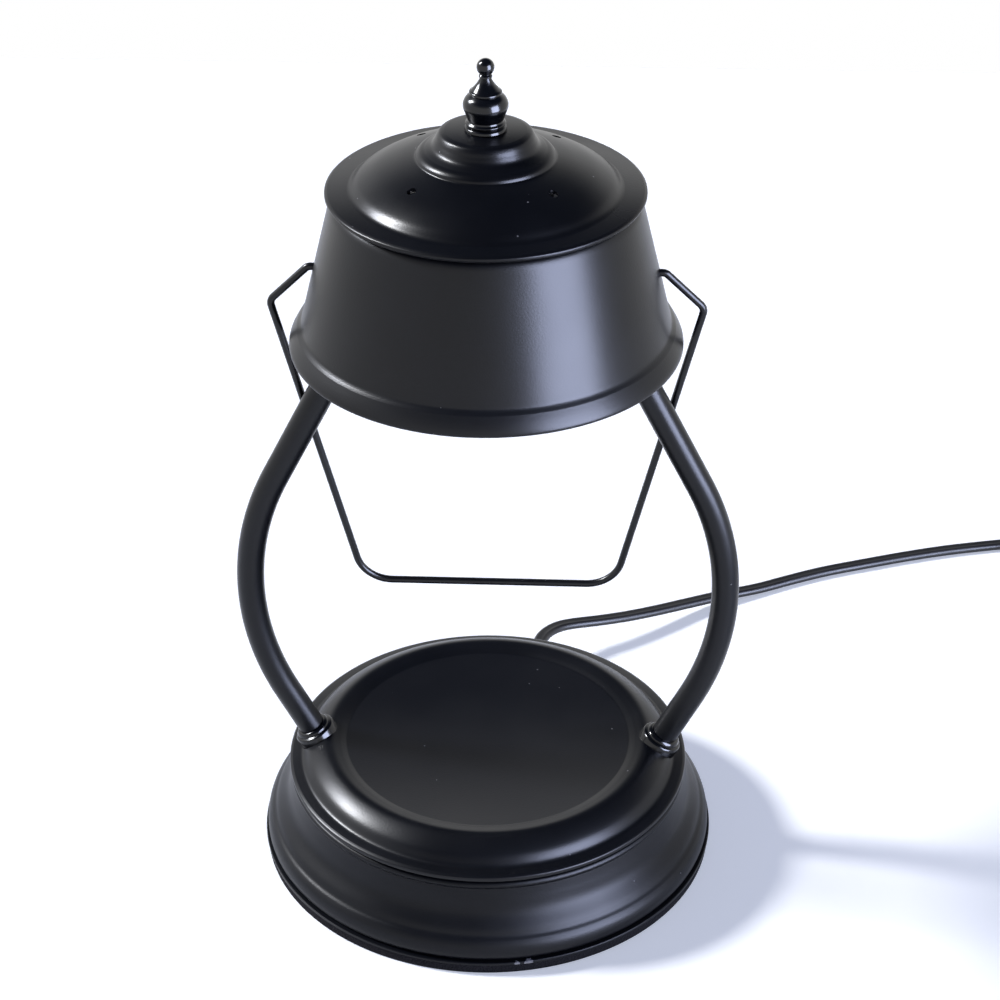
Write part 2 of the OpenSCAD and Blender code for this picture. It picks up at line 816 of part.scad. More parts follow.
// Two sleeved leads from the lampholder's sides into the left tube's open top.
module lamp_leads() {
    lead_z = arm_top_z + 1.8;
    color(ceramic)
        for (hand = [-1, 1])
            swept([
                [0, hand * (holder_r + fit), holder_low + 4],
                [0, hand * (holder_r + 1.2), holder_low + 4],
                [-1.5, hand * (holder_r + 2.4), holder_low + 4.2],
                [-5, hand * (holder_r + 2.6), holder_low + 5],
                [-holder_r, hand * (holder_r + 1), holder_low + 8],
                [-arm_top_x * 0.68, hand * 10.5, lead_z - 1.4],
                [-arm_top_x * 0.88, hand * 5, lead_z],
                [-arm_top_x + 0.8, hand * 1.9, lead_z - 0.6],
                [-arm_top_x, hand * 1.3, lead_z - 3],
                [-arm_top_x, hand * 1.3, arm_top_z - 10]
            ], lead_r, lead_sides, [0.1, 0.1, 1]);
}

lens_t = 2;
glass_t = 1.2;
foot_h = 10;            // height of the bulb's foot, between its glass and the lampholder
foot_z = holder_low - foot_h;
reflector_outline = concat(
    smooth([
        [holder_r - 1, foot_z], [holder_r - 0.4, foot_z - 3],
        [holder_r + 3, foot_z - 10], [bulb_r - 5.5, bulb_face_z + 14],
        [bulb_r - 1.8, bulb_face_z + 6.5], [bulb_r - 0.6, bulb_face_z + lens_t + 1.5]]),
    [[bulb_r - 0.6, bulb_face_z + lens_t + fit]]);

module bulb_reflector() {
    color(ceramic)
        rotate_extrude()
            polygon(concat(
                [[0, foot_z]],
                reflector_outline,
                reversed(beside(reflector_outline, -glass_t)),
                [[0, foot_z - glass_t]]));
}

module bulb_lens() {
    color([0.8, 0.85, 0.9, 0.5])
        translate([0, 0, bulb_face_z])
            rotate_extrude()
                polygon(concat(
                    [[0, 0]],
                    smooth([[bulb_r - 1.2, 0], [bulb_r - 0.2, 0.5], [bulb_r, 1.2], [bulb_r - 0.2, lens_t]], 3),
                    [[0, lens_t]]));
}

module bulb_base() {
    color(ceramic)
        translate([0, 0, foot_z])
            rotate_extrude()
                polygon([
                    [0, 0], [holder_r - 1, 0], [holder_r - 0.6, 1.2],
                    [holder_r - 0.6, foot_h - 1], [holder_r - 1.6, foot_h], [0, foot_h]]);
}

module bulb_pins() {
    pin_l = 6.5;
    color(steel)
        for (hand = [-1, 1])
            translate([0, hand * pin_gap / 2, holder_low]) {
                cylinder(h = pin_l, r = 1.5);
                translate([0, 0, pin_l - 2.5])
                    cylinder(h = 2.5, r = 2.4);
            }
}

// ---- bail ---------------------------------------------------------------------------------------

leg_slope = (elbow_x - grip_x) / (bail_reach - elbow_drop);
// Where a leg passes behind its tube, measured down from the pivots.
cross_drop = (bow_x - elbow_x - leg_slope * elbow_drop - (pivot_z - arm_mid_z) * tan(arm_lean))
    / (-leg_slope - tan(arm_lean));
bail_lean = asin((arm_r + wire_r + slack) / cross_drop);
pivot_wall_x = cone_low_r - (pivot_z - band_top) * (cone_low_r - cone_top_r)
    / (shade_h - band_h - shoulder_r);
bail_end_x = pivot_wall_x - 5.2;
shoulder_x = pivot_wall_x + 2.4;
bail_half = [
    [bail_end_x, 0], [shoulder_x, 0], [elbow_x, -elbow_drop], [grip_x, -bail_reach]];

// The bail's own frame: it hangs back from the pivot line until its legs rest on the tubes.
module at_bail() {
    translate([0, 0, pivot_z])
        rotate([bail_lean, 0, 0])
            children();
}

module bail() {
    whole = concat(bail_half, [for (p = reversed(bail_half)) [-p[0], p[1]]]);
    color(gloss)
        at_bail()
            swept(
                upright(bent(whole, [2.6, 4, grip_bend_r, grip_bend_r, 4, 2.6], wire_step)),
                wire_r, wire_sides, [0, 1, 0]);
}

module bail_clips() {
    clip_t = 1;
    color(steel)
        for (hand = [-1, 1])
            translate([hand * (pivot_wall_x - 3.2), 0, pivot_z])
                rotate([0, -hand * 90, 0])
                    difference() {
                        cylinder(h = clip_t, r = wire_r + 1.9);
                        translate([0, 0, -eps])
                            cylinder(h = clip_t + 2 * eps, r = wire_r + fit);
                    }
}

// ---- cord, coil, switch and plug --------------------------------------------------------------------

cord_r = cord_d / 2;
tie_t = 0.8;
coil_rows = 3;
coil_outer = coil_r + cord_d * coil_rows / 2;
coil_inner = coil_r - cord_d * coil_rows / 2;
coil_h = coil_rows * (cord_t + 0.1);
coil_x = 282;
coil_edge_y = 221.2;    // where the cord runs past the outside of the coil
coil_y = coil_edge_y - coil_outer - cord_r - slack;
coil_top = tie_t + coil_h + cord_r + slack;
switch_x = 320;
switch_y = 92;
switch_mid = switch_h / 2;
plug_x = 320;
plug_y = 8;

// From the outlet, down to the table behind the base and away to the right.
lead_route = [
    [17.4, 98.5, 16], [18.2, 103, 16], [20.6, 108, 15.8], [24.4, 112, 15.4], [29, 115.2, 14.8],
    [38, 120, 13.4], [52, 129, 11.2], [67, 139.5, 8.8], [81, 149.5, 6.6], [98, 159.8, 4.4],
    [116, 169, 3.2], [131, 177, 2.9], [147, 184.5, 2.9], [165, 191.3, 2.9], [186, 198.8, 2.9],
    [206, 205.4, 2.9], [228, 211.8, 2.9], [246, 216.4, 3], [262, 219.8, 3.1],
    [274, coil_edge_y, 3.3], [283, coil_edge_y, 3.4]];
// Off the top of the coil, over its turns and down into the switch.
tail_route = [
    [308.2, 196.4, coil_top], [314, 187, coil_top], [317.6, 177, coil_top],
    [319.8, 166, coil_top], [320.5, 156, coil_top - 0.5], [320, 146, 11.7], [320, 136, 9.8],
    [320, 128, 8.8], [320, 122, 8.5]];
// Out of the switch to the plug.
plug_route = [
    [320, 62, 8.5], [320, 56, 8.2], [320, 46, 6.4], [320, 36, 5.2], [320, 26, 5.4], [320, 17, 6.7],
    [320, 12.3, 6.8]];

module cord_lead() {
    color(pvc)
        swept(lead_route, cord_r);
}

module cord_tail() {
    color(pvc)
        swept(tail_route, cord_r);
}

module cord_plug_lead() {
    color(pvc)
        swept(plug_route, cord_r);
}

module cord_coil() {
    edge = cord_t / 2;
    color(pvc)
        translate([coil_x, coil_y, tie_t])
            rotate_extrude()
                polygon([
                    [coil_inner, edge], [coil_inner + edge, 0], [coil_outer - edge, 0],
                    [coil_outer, edge], [coil_outer, coil_h - edge], [coil_outer - edge, coil_h],
                    [coil_inner + edge, coil_h], [coil_inner, coil_h - edge]]);
}

module cord_tie() {
    tie_w = 9;
    near = sqrt(pow(coil_inner, 2) - pow(tie_w / 2, 2)) - fit;
    inner_h = coil_h + 2 * fit;
    span = coil_outer - near + fit;
    color(pvc)
        translate([coil_x, coil_y, 0])
            rotate([0, 0, 235])
                translate([near - tie_t, -tie_w / 2, 0])
                    difference() {
                        cube([span + 2 * tie_t, tie_w, inner_h + 2 * tie_t - fit]);
                        translate([tie_t, -eps, tie_t - fit])
                            cube([span, tie_w + 2 * eps, inner_h]);
                    }
}

// A rounded bar in plan, the outline of both switch halves.
module switch_plan(l, w, r) {
    square([w, l - 2 * r], center = true);
    square([w - 2 * r, l], center = true);
    for (x = [-1, 1])
        for (y = [-1, 1])
            translate([x * (w / 2 - r), y * (l / 2 - r)])
                circle(r);
}

module at_switch() {
    translate([switch_x, switch_y, 0])
        children();
}

wall = 1.8;
plan_r = 7;
rocker_w = 11.6;
rocker_reach = 9.4;
window_w = rocker_w + 0.8;
window_l = 2 * rocker_reach + 0.8;
axle_r = 1.4;
axle_z = switch_h - 4;
axle_end = switch_w / 2 - 4.2;
post_y = switch_l / 2 - 11;
screw_head_z = 0.7;
screw_head_h = 1.8;

module cord_passage() {
    translate([0, -switch_l, switch_mid])
        rotate([-90, 0, 0])
            cylinder(h = 2 * switch_l, r = cord_r + fit);
}

module switch_lower() {
    color(pvc)
        at_switch()
            difference() {
                union() {
                    linear_extrude(1)
                        switch_plan(switch_l - 2, switch_w - 2, plan_r - 1);
                    translate([0, 0, 1])
                        linear_extrude(switch_mid - 1)
                            switch_plan(switch_l, switch_w, plan_r);
                }
                translate([0, 0, wall])
                    linear_extrude(switch_mid)
                        switch_plan(2 * post_y - 7, switch_w - 2 * wall, 2);
                cord_passage();
                for (hand = [-1, 1])
                    translate([hand * 6.5, hand * post_y, -eps]) {
                        cylinder(h = switch_h, r = 1.35);
                        cylinder(h = screw_head_z + screw_head_h + fit, r = 2.6);
                    }
            }
}

module switch_upper() {
    roof_z = switch_h - wall;
    bearing_x = axle_end - 1.2;
    color(pvc)
        at_switch()
            difference() {
                union() {
                    difference() {
                        union() {
                            translate([0, 0, switch_mid])
                                linear_extrude(switch_h - switch_mid - 1)
                                    switch_plan(switch_l, switch_w, plan_r);
                            translate([0, 0, switch_h - 1])
                                linear_extrude(1)
                                    switch_plan(switch_l - 2, switch_w - 2, plan_r - 1);
                        }
                        translate([0, 0, switch_mid - eps])
                            linear_extrude(roof_z - switch_mid)
                                switch_plan(2 * post_y - 7, switch_w - 2 * wall, 2);
                    }
                    for (hand = [-1, 1])
                        translate([hand * bearing_x, 0, (axle_z - 3 + roof_z) / 2 + 0.2])
                            cube([2.4, 7, roof_z - axle_z + 3.4], center = true);
                }
                translate([-window_w / 2, -window_l / 2, switch_mid])
                    cube([window_w, window_l, switch_h]);
                translate([-axle_end - 0.6, 0, axle_z])
                    rotate([0, 90, 0])
                        cylinder(h = 2 * axle_end + 1.2, r = axle_r + fit);
                cord_passage();
                for (hand = [-1, 1])
                    translate([hand * 6.5, hand * post_y, switch_mid - eps])
                        cylinder(h = 6, r = 1.1);
            }
}

module switch_rocker() {
    crown = 2.4;
    color(gloss)
        at_switch()
            translate([0, 0, axle_z])
                rotate([rocker_tilt, 0, 0]) {
                    intersection() {
                        translate([-rocker_w / 2, 0, 0])
                            rotate([0, 90, 0])
                                cylinder(h = rocker_w, r = rocker_reach);
                        translate([rocker_w / 2, 0, 0])
                            rotate([90, 0, -90])
                                linear_extrude(rocker_w)
                                    polygon([
                                        [-rocker_reach, 0.5], [-2.4, -2.8], [2.4, -2.8],
                                        [rocker_reach, 0.5], [rocker_reach, crown + 3],
                                        [0, crown + 1.4], [-rocker_reach, crown + 3]]);
                    }
                    translate([-axle_end, 0, 0])
                        rotate([0, 90, 0])
                            cylinder(h = 2 * axle_end, r = axle_r);
                }
}

module switch_contacts() {
    blade_w = 5;
    color(brass)
        at_switch()
            for (hand = [-1, 1])
                translate([0, hand * 10, wall]) {
                    translate([-blade_w / 2, -4.5, 0])
                        cube([blade_w, 9, 0.8]);
                    translate([-blade_w / 2, hand > 0 ? 3.7 : -4.5, 0])
                        cube([blade_w, 0.8, 5]);
                }
}

module switch_screws() {
    color(steel)
        at_switch()
            for (hand = [-1, 1])
                translate([hand * 6.5, hand * post_y, screw_head_z]) {
                    cylinder(h = screw_head_h, r = 2.4);
                    cylinder(h = switch_mid + 3.5, r = 1.05);
                }
}

plug_mid = plug_t / 2;
boot_l = 20;

module at_plug() {
    translate([plug_x, plug_y, plug_mid])
        children();
}

module plug_boot() {
    color(pvc)
        at_plug()
            translate([0, -boot_l + 4, 0])
                rotate([-90, 0, 0])
                    rotate_extrude()
                        polygon([
                            [0, 0], [cord_r + 2.4, 0], [cord_r + 2.2, 4], [cord_r + 1.4, 4.6],
                            [cord_r + 1.9, 6], [cord_r + 1.2, 9], [cord_r + 1.5, 10.4],
                            [cord_r + 0.9, boot_l - 2], [cord_r + 0.5, boot_l], [0, boot_l]]);
}

module plug_body() {
    round_r = 4;
    flat_l = plug_l - 2 * round_r;
    color(pvc)
        at_plug()
            translate([0, -boot_l + 4, 0])
                hull() {
                    for (hand = [-1, 1]) {
                        translate([hand * (plug_w / 2 - round_r), -plug_l + round_r, 0])
                            cylinder(h = plug_t, r = round_r, center = true, $fn = 32);
                        translate([hand * (plug_w / 2 - round_r), -plug_l + round_r + flat_l * 0.55, 0])
                            cylinder(h = plug_t, r = round_r, center = true, $fn = 32);
                        translate([hand * 5, -round_r, 0])
                            cylinder(h = plug_t - 2, r = round_r, center = true, $fn = 32);
                    }
                }
}

module plug_pins() {
    tip = 1;
    color(brass)
        at_plug()
            for (hand = [-1, 1])
                translate([hand * plug_pin_gap / 2, -boot_l + 4 - plug_l, 0])
                    rotate([90, 0, 0])
                        union() {
                            cylinder(h = plug_pin_l - tip, r = plug_pin_d / 2);
                            translate([0, 0, plug_pin_l - tip])
                                cylinder(h = tip, r1 = plug_pin_d / 2, r2 = plug_pin_d / 2 - tip);
                        }
}

base_pad();
bottom_plate();
base_skirt();
base_tray();
ballast_weight();
centre_bolt();
tray_nut();
terminal_block();
base_leads();
cord_gland();
arm_left();
arm_right();
foot_ferrules();
foot_nuts();
arm_top_nuts();
strap_bridge();
lampholder();
holder_screws();
lamp_leads();
bulb_reflector();
bulb_lens();
bulb_base();
bulb_pins();
shade();
shade_cap();
centre_rod();
rod_nuts();
finial();
bail();
bail_clips();
cord_lead();
cord_coil();
cord_tail();
cord_plug_lead();
cord_tie();
switch_lower();
switch_upper();
switch_rocker();
switch_contacts();
switch_screws();
plug_body();
plug_boot();
plug_pins();
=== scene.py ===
import math

import bpy
import numpy as np
from mathutils import Matrix, Vector


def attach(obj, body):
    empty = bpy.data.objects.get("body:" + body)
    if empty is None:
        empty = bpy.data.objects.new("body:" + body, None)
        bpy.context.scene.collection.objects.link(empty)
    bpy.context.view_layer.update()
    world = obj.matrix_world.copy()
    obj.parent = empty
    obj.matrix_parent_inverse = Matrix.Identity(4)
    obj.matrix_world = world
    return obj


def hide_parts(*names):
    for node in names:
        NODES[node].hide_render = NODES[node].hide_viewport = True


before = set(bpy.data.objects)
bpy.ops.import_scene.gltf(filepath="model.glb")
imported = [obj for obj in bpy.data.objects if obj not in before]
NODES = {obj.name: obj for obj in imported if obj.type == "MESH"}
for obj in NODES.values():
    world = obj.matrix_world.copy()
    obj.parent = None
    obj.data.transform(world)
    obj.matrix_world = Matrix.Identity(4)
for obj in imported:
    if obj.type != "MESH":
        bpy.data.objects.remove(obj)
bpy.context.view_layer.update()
MM = 0.001

# ---- the numbers of the part, in millimetres -----------------------------------------------------
BASE_R, PAD_H, PLATE_T, SKIRT_H, SHOULDER_W, SHEET = 88.0, 4.0, 1.2, 31.1, 20.3, 1.2
TRAY_R, TRAY_RISE, CROWN_RISE = 54.7, 6.0, 1.9
ARM_D, ARM_LEAN, BOW_R = 10.2, 27.0, 106.0
ARM_TOP_X, TOP_BEND_R, TOP_BEND_DROP, FERRULE_W = 34.0, 30.0, 28.6, 2.9
SHADE_Z, SHADE_R, BAND_H, CONE_LOW_R, FLANGE_W, SHADE_H, SHADE_T = 218.6, 69.5, 7.0, 64.8, 11.5, 56.9, 1.0
CAP_LIP, RING_W, DOME_RISE, COLLAR_R, CREST_R, COLLAR_H = 1.3, 8.4, 11.1, 23.6, 16.3, 9.7
VENT_D, VENT_R = 3.2, 33.2
FINIAL_H, FINIAL_R, BALL_R, ROD_D = 25.2, 7.75, 3.0, 6.0
WIRE_D, PIVOT_RISE, BAIL_REACH = 2.7, 27.5, 141.3
ELBOW_X, ELBOW_DROP, GRIP_X, GRIP_BEND = 76.4, 14.4, 47.8, 13.5
CORD_W, CORD_T = 5.8, 3.5
FIT = 0.05

NECK_R = TRAY_R + SHOULDER_W
FERRULE_R = ARM_D / 2 + FERRULE_W
FLANGE_R = ARM_TOP_X + (ARM_D + 4) / 2 / math.cos(math.radians(30)) + FIT
CONE_TOP_R = FLANGE_R + FLANGE_W
CAP_R = CONE_TOP_R + CAP_LIP
DOME_R = CAP_R - RING_W
DOME_RUN = DOME_R - COLLAR_R
PLATE_TOP = PAD_H + PLATE_T
LEDGE_UNDER = PLATE_TOP + SKIRT_H
LEDGE_Z = LEDGE_UNDER + SHEET
TRAY_Z = LEDGE_Z + TRAY_RISE
CROWN_Z = TRAY_Z + CROWN_RISE
CROWN_R = TRAY_R + 6.9
SHADE_TOP = SHADE_Z + SHADE_H
PIVOT_Z = SHADE_Z + PIVOT_RISE


# ---- geometry helpers ----------------------------------------------------------------------------
def smooth(points, n=8):
    """A Catmull-Rom curve through the points, with n steps between two of them."""
    p = [np.array(q, float) for q in points]
    out = []
    for i in range(len(p) - 1):
        a, b, c, d = p[max(i - 1, 0)], p[i], p[i + 1], p[min(i + 2, len(p) - 1)]
        for k in range(n):
            t = k / n
            out.append((2 * b + (c - a) * t + (2 * a - 5 * b + 4 * c - d) * t * t
                        + (3 * b - a - 3 * c + d) * t ** 3) / 2)
    out.append(p[-1])
    return out


def unit(v):
    return v / np.linalg.norm(v)


def beside(points, t):
    """The outline moved t to its left, for a wall of even thickness."""
    p = [np.array(q, float) for q in points]
    out = []
    for i in range(len(p)):
        a = unit(p[max(i, 1)] - p[max(i, 1) - 1])
        j = min(i, len(p) - 2)
        b = unit(p[j + 1] - p[j])
        na, nb = np.array([-a[1], a[0]]), np.array([-b[1], b[0]])
        m = unit(na + nb)
        out.append(p[i] + t * m / max(float(m @ na), 0.5))
    return out


def new_object(name, verts, faces, material, sharp=32.0, slot=None, body="lamp"):
    mesh = bpy.data.meshes.new(name)
    mesh.from_pydata([tuple(v) for v in verts], [], faces)
    mesh.validate()
    mesh.polygons.foreach_set("use_smooth", [True] * len(mesh.polygons))
    mesh.set_sharp_from_angle(angle=math.radians(sharp))
    mesh.update()
    o = bpy.data.objects.new(name, mesh)
    bpy.context.scene.collection.objects.link(o)
    o.data.materials.append(material)
    if body:
        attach(o, body)
    return o


def lathe_mesh(profile, seg):
    """A closed outline (r, z) in millimetres turned about Z."""
    verts, rings = [], []
    for r, z in profile:
        if r < 1e-4:
            rings.append([len(verts)])
            verts.append((0.0, 0.0, z * MM))
        else:
            rings.append(list(range(len(verts), len(verts) + seg)))
            for k in range(seg):
                w = 2 * math.pi * k / seg
                verts.append((r * math.cos(w) * MM, r * math.sin(w) * MM, z * MM))
    faces = []
    count = len(rings)
    for i in range(count):
        a, b = rings[i], rings[(i + 1) % count]
        if len(a) == 1 and len(b) == 1:
            continue
        for k in range(seg):
            m = (k + 1) % seg
            if len(a) == 1:
                faces.append((a[0], b[m], b[k]))
            elif len(b) == 1:
                faces.append((a[k], a[m], b[0]))
            else:
                faces.append((a[k], a[m], b[m], b[k]))
    return verts, faces


def outward(verts, faces):
    """Faces turned so that the solid's volume is positive."""
    v = np.array(verts)
    total = 0.0
    for f in faces:
        for i in range(1, len(f) - 1):
            total += float(np.dot(v[f[0]], np.cross(v[f[i]], v[f[i + 1]])))
    return faces if total > 0 else [tuple(reversed(f)) for f in faces]


def lathe(name, profile, material, seg=192, matrix=None, **kw):
    verts, faces = lathe_mesh(profile, seg)
    faces = outward(verts, faces)
    if matrix is not None:
        verts = [matrix @ Vector(v) for v in verts]
    return new_object(name, verts, faces, material, **kw)


def shell(outline, t):
    """A closed outline of a wall t thick."""
    return list(outline) + list(reversed(beside(outline, t)))


def sweep_mesh(path, section, up):
    """A section carried along a path in millimetres, both ends closed."""
    p = np.array(path, float)
    seg = np.diff(p, axis=0)
    seg /= np.linalg.norm(seg, axis=1)[:, None]
    tang = np.vstack([seg[:1], seg[:-1] + seg[1:], seg[-1:]])
    tang /= np.linalg.norm(tang, axis=1)[:, None]
    up = np.broadcast_to(np.array(up, float), p.shape)
    u = np.cross(up, tang)
    u /= np.linalg.norm(u, axis=1)[:, None]
    v = np.cross(tang, u)
    s = np.array(section, float)
    n = len(s)
    rings = p[:, None, :] + s[None, :, :1] * u[:, None, :] + s[None, :, 1:] * v[:, None, :]
    verts = rings.reshape(-1, 3) * MM
    faces = []
    for i in range(len(p) - 1):
        for k in range(n):
            m = (k + 1) % n
            faces.append((i * n + k, i * n + m, (i + 1) * n + m, (i + 1) * n + k))
    faces.append(tuple(reversed(range(n))))
    faces.append(tuple((len(p) - 1) * n + k for k in range(n)))
    return verts, faces


def sweep(name, path, section, up, material, **kw):
    verts, faces = sweep_mesh(path, section, up)
    return new_object(name, verts, outward(verts, faces), material, **kw)


def round_section(r, n):
    return [(r * math.cos(2 * math.pi * k / n), r * math.sin(2 * math.pi * k / n)) for k in range(n)]


def bent(points, bends, step=3.0):
    """A polyline in the XZ plane with each inner corner turned into an arc."""
    p = [np.array(q, float) for q in points]
    out = [p[0]]
    for i in range(1, len(p) - 1):
        d, e = unit(p[i] - p[i - 1]), unit(p[i + 1] - p[i])
        hand = np.sign(d[0] * e[1] - d[1] * e[0])
        whole = math.acos(max(-1.0, min(1.0, float(d @ e))))
        bend = bends[i - 1]
        a = p[i] - d * bend * math.tan(whole / 2)
        n = max(6, math.ceil(math.degrees(whole) / step))
        side = np.array([-d[1], d[0]]) * hand
        for k in range(n + 1):
            w = whole * k / n
            out.append(a + bend * (d * math.sin(w) + side * (1 - math.cos(w))))
    out.append(p[-1])
    return out


# ---- material helpers ----------------------------------------------------------------------------
class Nodes:
    def __init__(self, name):
        self.material = bpy.data.materials.new(name)
        self.material.use_nodes = True
        self.tree = self.material.node_tree
        self.tree.nodes.clear()
        self.out = self.add("ShaderNodeOutputMaterial")
        self.bsdf = self.add("ShaderNodeBsdfPrincipled")
        self.link(self.bsdf.outputs[0], self.out.inputs[0])
        self.coord = self.add("ShaderNodeTexCoord").outputs["Object"]

    def add(self, kind, **kw):
        n = self.tree.nodes.new(kind)
        for k, v in kw.items():
            setattr(n, k, v)
        return n

    def link(self, a, b):
        self.tree.links.new(a, b)

    def noise(self, scale, detail=3.0, rough=0.5):
        n = self.add("ShaderNodeTexNoise")
        self.link(self.coord, n.inputs["Vector"])
        n.inputs["Scale"].default_value = scale
        n.inputs["Detail"].default_value = detail
        n.inputs["Roughness"].default_value = rough
        return n.outputs["Fac"]

    def voronoi(self, scale, out="Distance"):
        n = self.add("ShaderNodeTexVoronoi")
        self.link(self.coord, n.inputs["Vector"])
        n.inputs["Scale"].default_value = scale
        return n.outputs[out]

    def span(self, value, a, b, c=0.0, d=1.0):
        n = self.add("ShaderNodeMapRange")
        self.link(value, n.inputs["Value"])
        for key, x in (("From Min", a), ("From Max", b), ("To Min", c), ("To Max", d)):
            n.inputs[key].default_value = x
        return n.outputs[0]

    def math(self, op, a, b=None):
        n = self.add("ShaderNodeMath", operation=op)
        for i, x in enumerate((a, b)):
            if x is None:
                continue
            if isinstance(x, (int, float)):
                n.inputs[i].default_value = x
            else:
                self.link(x, n.inputs[i])
        return n.outputs[0]

    def mix(self, factor, a, b):
        n = self.add("ShaderNodeMix", data_type="RGBA")
        if isinstance(factor, (int, float)):
            n.inputs[0].default_value = factor
        else:
            self.link(factor, n.inputs[0])
        for i, x in ((6, a), (7, b)):
            if isinstance(x, tuple):
                n.inputs[i].default_value = (*x, 1.0)
            else:
                self.link(x, n.inputs[i])
        return n.outputs[2]

    def bump(self, height, strength, distance):
        n = self.add("ShaderNodeBump")
        n.inputs["Strength"].default_value = strength
        n.inputs["Distance"].default_value = distance
        self.link(height, n.inputs["Height"])
        self.link(n.outputs[0], self.bsdf.inputs["Normal"])

    def set(self, **kw):
        for k, v in kw.items():
            s = self.bsdf.inputs[k.replace("_", " ")]
            if hasattr(v, "links"):
                self.link(v, s)
            elif isinstance(v, tuple):
                s.default_value = (*v, 1.0) if len(v) == 3 else v
            else:
                s.default_value = v


DUST_SCALE, DUST_SHARE, DUST_SIZE = 330.0, 0.048, 0.10
DUST_COLOUR, CHIP_COLOUR, CLOUD_TINT = (0.22, 0.22, 0.24), (0.34, 0.34, 0.37), (0.0040, 0.0047, 0.0075)


def enamel(name, colour, rough_low, rough_high, peel=0.05, dust=0.25, gloss=0.32, chips=()):
    """Sprayed enamel: a little orange peel, uneven gloss, a few specks of dust, and chips where given."""
    m = Nodes(name)
    cloud = m.noise(26.0, 4.0)
    m_rough = m.span(cloud, 0.3, 0.7, rough_low, rough_high)
    cell = m.voronoi(DUST_SCALE)
    pick = m.voronoi(DUST_SCALE, "Color")
    split = m.add("ShaderNodeSeparateColor")
    m.link(pick, split.inputs[0])
    chosen = m.math("LESS_THAN", split.outputs[0], DUST_SHARE * dust)
    dot = m.math("LESS_THAN", cell, DUST_SIZE)
    speck = m.math("MULTIPLY", chosen, dot)
    base = m.mix(m.span(cloud, 0.35, 0.75), colour, CLOUD_TINT)
    painted = m.mix(m.math("MULTIPLY", speck, 0.8), base, DUST_COLOUR)
    if chips:
        worn = None
        for place, size in chips:
            away = m.add("ShaderNodeVectorMath", operation="DISTANCE")
            m.link(m.coord, away.inputs[0])
            away.inputs[1].default_value = place
            ragged = m.math("ADD", away.outputs["Value"],
                            m.math("MULTIPLY", m.noise(700.0, 4.0, 0.7), size * 1.6))
            spot = m.math("LESS_THAN", ragged, size * 1.25)
            worn = spot if worn is None else m.math("MAXIMUM", worn, spot)
        painted = m.mix(worn, painted, CHIP_COLOUR)
    m.set(Base_Color=painted, Roughness=m_rough, Specular_IOR_Level=gloss)
    m.bump(m.noise(1500.0, 2.0), peel, 0.0004)
    return m.material


def steel(name, colour=(0.55, 0.56, 0.58), rough=0.32):
    m = Nodes(name)
    grain = m.noise(160.0, 4.0, 0.6)
    m.set(Base_Color=m.mix(grain, tuple(0.86 * c for c in colour), colour), Metallic=1.0,
          Roughness=m.span(grain, 0.3, 0.7, rough - 0.07, rough + 0.1))
    m.bump(m.noise(900.0, 3.0), 0.06, 0.0003)
    return m.material


def moulded(name, colour, rough=0.45, grain=1400.0, strength=0.12, lift=1.35):
    m = Nodes(name)
    wide = m.noise(40.0, 3.0)
    fine = m.noise(grain, 3.0, 0.6)
    m.set(Base_Color=m.mix(wide, colour, tuple(lift * c for c in colour)),
          Roughness=m.span(wide, 0.3, 0.7, rough - 0.06, rough + 0.08))
    m.bump(fine, strength, 0.0003)
    return m.material


# ---- camera --------------------------------------------------------------------------------------
cam_data = bpy.data.cameras.new("camera")
cam = bpy.data.objects.new("camera", cam_data)
bpy.context.scene.collection.objects.link(cam)
bpy.context.scene.camera = cam
cam_data.sensor_width = 36.0
cam_data.lens = 88.13
cam.location = Vector((36.0, -762.7, 627.5)) * MM
aim = Vector((4.8, 0.23, 151.8)) * MM
cam.rotation_mode = "QUATERNION"
cam.rotation_quaternion = (aim - cam.location).to_track_quat("-Z", "Y")
cam_data.clip_start, cam_data.clip_end = 0.01, 50.0

# ---- materials -----------------------------------------------------------------------------------
satin_mat = enamel("satin_enamel", (0.0026, 0.0031, 0.0050), 0.29, 0.35, peel=0.06, dust=0.4, gloss=0.27)
skirt_enamel = enamel("skirt_enamel", (0.0024, 0.0030, 0.0052), 0.33, 0.40, peel=0.08, gloss=0.19)
# Each chip: its place on the edge of the bottom plate and its size, in metres.
CHIPS = (((0.0190, -0.0860, 0.0047), 0.0032), ((0.0145, -0.0868, 0.0044), 0.0020))
plate_enamel = enamel("plate_enamel", (0.0024, 0.0030, 0.0052), 0.33, 0.40, peel=0.08, gloss=0.19,
                      chips=CHIPS)
disc_enamel = enamel("tray_enamel", (0.0042, 0.0048, 0.0075), 0.30, 0.38,
                     peel=0.06, dust=0.5, gloss=0.29)
cap_enamel = enamel("cap_enamel", (0.0022, 0.0026, 0.0042), 0.27, 0.33,
                    peel=0.05, dust=1.6, gloss=0.25)
gloss_mat = enamel("gloss_enamel", (0.003, 0.0033, 0.0045), 0.15, 0.21,
                   peel=0.02, dust=0.1, gloss=0.42)
wire_mat = enamel("wire_enamel", (0.006, 0.006, 0.007), 0.24, 0.32, peel=0.03, dust=0.1)
zinc = steel("zinc_steel")
brass_mat = steel("nickelled_brass", (0.62, 0.56, 0.42), 0.22)

m = Nodes("foam_rubber")
cells = m.voronoi(1300.0)
m.set(Base_Color=m.mix(m.noise(220.0, 4.0), (0.005, 0.005, 0.007), (0.012, 0.011, 0.015)), Roughness=0.92,
      Specular_IOR_Level=0.12)
m.bump(cells, 0.7, 0.0006)
foam_mat = m.material

